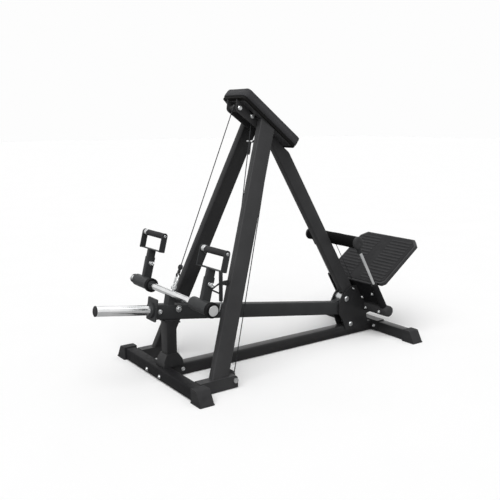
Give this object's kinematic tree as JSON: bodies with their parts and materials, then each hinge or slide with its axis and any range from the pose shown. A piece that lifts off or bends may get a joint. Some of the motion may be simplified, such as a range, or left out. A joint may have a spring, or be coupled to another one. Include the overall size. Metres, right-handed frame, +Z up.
{
  "type": "t-bar row machine",
  "caption": "Plate-loaded row machine: hinged lever with horn and sliding D handles under a tripod frame with sloping chest pad, cable pulleys, ribbed footplate and foam roller.",
  "frame": {"origin": "centre of the overall bounding box in X and Y, on the floor", "axes": "+Z up; +Y from the plate horn towards the footplate; +X to the side the spring pins and the foot pulley are on"},
  "size_m": [0.8782, 1.9856, 1.4349],
  "materials": {
    "frame_paint": "fine textured black powder coat",
    "lever_paint": "satin black powder coat",
    "rubber": "matt black moulded rubber",
    "tread_rubber": "ribbed matt rubber mat",
    "foam": "closed-cell foam",
    "upholstery": "matt black grained upholstery",
    "board": "black stained plywood",
    "chrome": "polished chrome plate",
    "steel": "zinc plated steel",
    "nylon": "moulded black nylon"
  },
  "bodies": {
    "stand": {"front_foot": "frame_paint", "rear_foot": "frame_paint", "front_cap_near": "rubber", "front_cap_far": "rubber", "rear_cap_near": "rubber", "rear_cap_far": "rubber", "base_beam": "frame_paint", "stub_near": "frame_paint", "stub_far": "frame_paint", "post": "frame_paint", "rest_pad": "rubber", "leg_near": "frame_paint", "leg_far": "frame_paint", "rear_leg": "frame_paint", "head_plate_near": "frame_paint", "head_plate_far": "frame_paint", "pad_mount": "frame_paint", "pad_board": "board", "pad_cushion": "upholstery", "head_axle_front": "steel", "head_axle_rear": "steel", "pivot_plate_near": "frame_paint", "pivot_plate_far": "frame_paint", "pivot_pin": "steel", "clamp_bolt": "steel", "carrier_plate": "frame_paint", "lower_tube": "frame_paint", "guide_sleeve_near": "frame_paint", "guide_sleeve_far": "frame_paint", "footplate": "frame_paint", "tread": "tread_rubber", "step_arm": "frame_paint", "foot_pulley_axle": "steel", "cable": "steel", "cable_anchor": "steel"},
    "lever_arm": {"lever": "lever_paint", "stop_plate": "lever_paint", "horn": "chrome", "horn_cap": "rubber", "cross_tube": "chrome", "handle_sleeve_near": "lever_paint", "handle_sleeve_far": "lever_paint", "cable_eye": "steel", "snap_link": "steel", "cable_ferrule": "rubber", "cable_front": "steel"},
    "handle_near": {"handle_near": "lever_paint"},
    "handle_far": {"handle_far": "lever_paint"},
    "grip_near": {"grip_near": "rubber"},
    "grip_far": {"grip_far": "rubber"},
    "handle_pin_near": {"handle_pin_near": "steel"},
    "handle_pin_far": {"handle_pin_far": "steel"},
    "head_pulley_front": {"head_pulley_front": "nylon"},
    "head_pulley_rear": {"head_pulley_rear": "nylon"},
    "foot_pulley": {"foot_pulley": "nylon"},
    "roller_carriage": {"slide_bar_near": "chrome", "slide_bar_far": "chrome", "roller_axle": "lever_paint", "roller": "foam"},
    "latch": {"latch": "lever_paint"}
  },
  "joints": [
    {"name": "lever_hinge", "type": "hinge", "parent": "stand", "child": "lever_arm", "pos_m": [0, 0.5784, 0.235], "axis": [-1, 0, 0], "range_deg": [0, 30], "deforming": ["cable_front"]},
    {"name": "handle_slide_near", "type": "slide", "parent": "lever_arm", "child": "handle_near", "axis": [0, 0.2419, 0.9703], "range_m": [0, 0.075]},
    {"name": "handle_slide_far", "type": "slide", "parent": "lever_arm", "child": "handle_far", "axis": [0, 0.2419, 0.9703], "range_m": [0, 0.075]},
    {"name": "grip_turn_near", "type": "hinge", "parent": "handle_near", "child": "grip_near", "pos_m": [0.297, -0.51111, 0.68537], "axis": [0.9945, 0.1014, -0.0253], "continuous": true},
    {"name": "grip_turn_far", "type": "hinge", "parent": "handle_far", "child": "grip_far", "pos_m": [-0.297, -0.51111, 0.68537], "axis": [0.9945, 0.1014, -0.0253], "continuous": true},
    {"name": "handle_pin_pull_near", "type": "slide", "parent": "lever_arm", "child": "handle_pin_near", "axis": [1, 0, 0], "range_m": [0, 0.008], "stiffness_N_per_m": 400, "springref_m": -0.006},
    {"name": "handle_pin_pull_far", "type": "slide", "parent": "lever_arm", "child": "handle_pin_far", "axis": [1, 0, 0], "range_m": [0, 0.008], "stiffness_N_per_m": 400, "springref_m": -0.006},
    {"name": "head_pulley_front_turn", "type": "hinge", "parent": "stand", "child": "head_pulley_front", "pos_m": [0.015, -0.1936, 1.342], "axis": [1, 0, 0], "continuous": true},
    {"name": "head_pulley_rear_turn", "type": "hinge", "parent": "stand", "child": "head_pulley_rear", "pos_m": [0.015, -0.1166, 1.302], "axis": [1, 0, 0], "continuous": true},
    {"name": "foot_pulley_turn", "type": "hinge", "parent": "stand", "child": "foot_pulley", "pos_m": [0.263, -0.4176, 0.041], "axis": [1, 0, 0], "continuous": true},
    {"name": "roller_height", "type": "slide", "parent": "stand", "child": "roller_carriage", "axis": [0, -0.509, 0.8607], "range_m": [-0.1, 0]},
    {"name": "latch_swing", "type": "hinge", "parent": "stand", "child": "latch", "pos_m": [0.21336, -0.39784, 0.5], "axis": [1, 0, 0], "range_deg": [-35, 0]}
  ]
}
